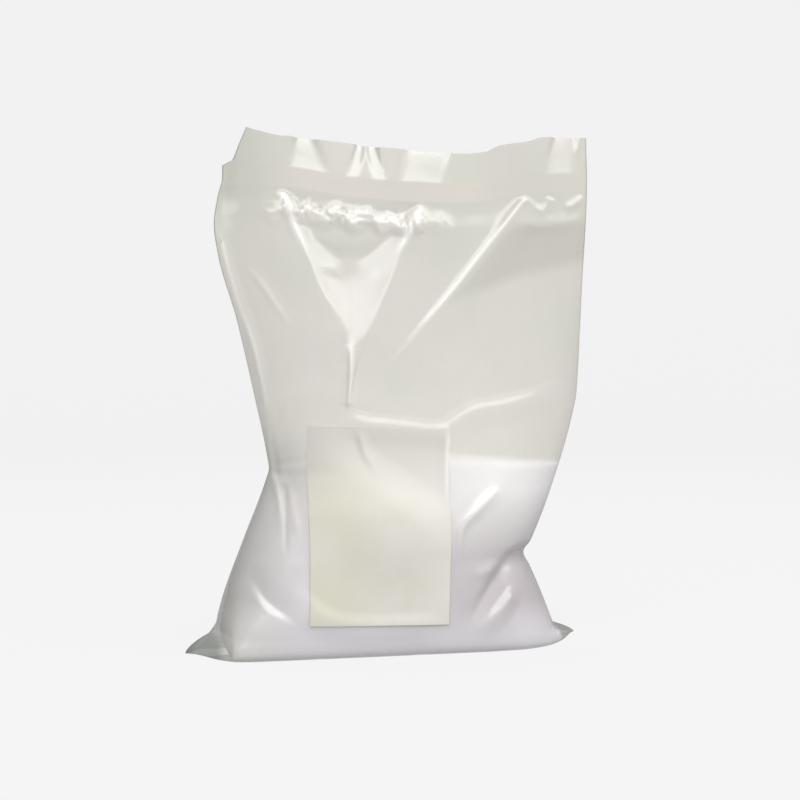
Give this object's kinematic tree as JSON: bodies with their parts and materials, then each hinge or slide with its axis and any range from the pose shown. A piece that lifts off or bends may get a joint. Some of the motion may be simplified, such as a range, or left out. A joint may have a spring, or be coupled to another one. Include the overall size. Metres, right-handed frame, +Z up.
{
  "type": "bag of citric acid",
  "caption": "Clear milky plastic bag of white citric acid powder, welded across the top with a loose lip above, standing on its filled foot, with a blank label on the front.",
  "frame": {"origin": "on the floor, under the centre of the bag's box", "axes": "+Z up, the front with the label faces -Y, +X to the right as seen from the front"},
  "size_m": [0.2339, 0.1017, 0.2889],
  "materials": {
    "film": "milky translucent polythene film, semi-gloss, over white powder in the lower third",
    "label": "blank ivory label paper with a faint gloss"
  },
  "bodies": {
    "root": {"bag": "film", "label": "label"}
  },
  "joints": []
}
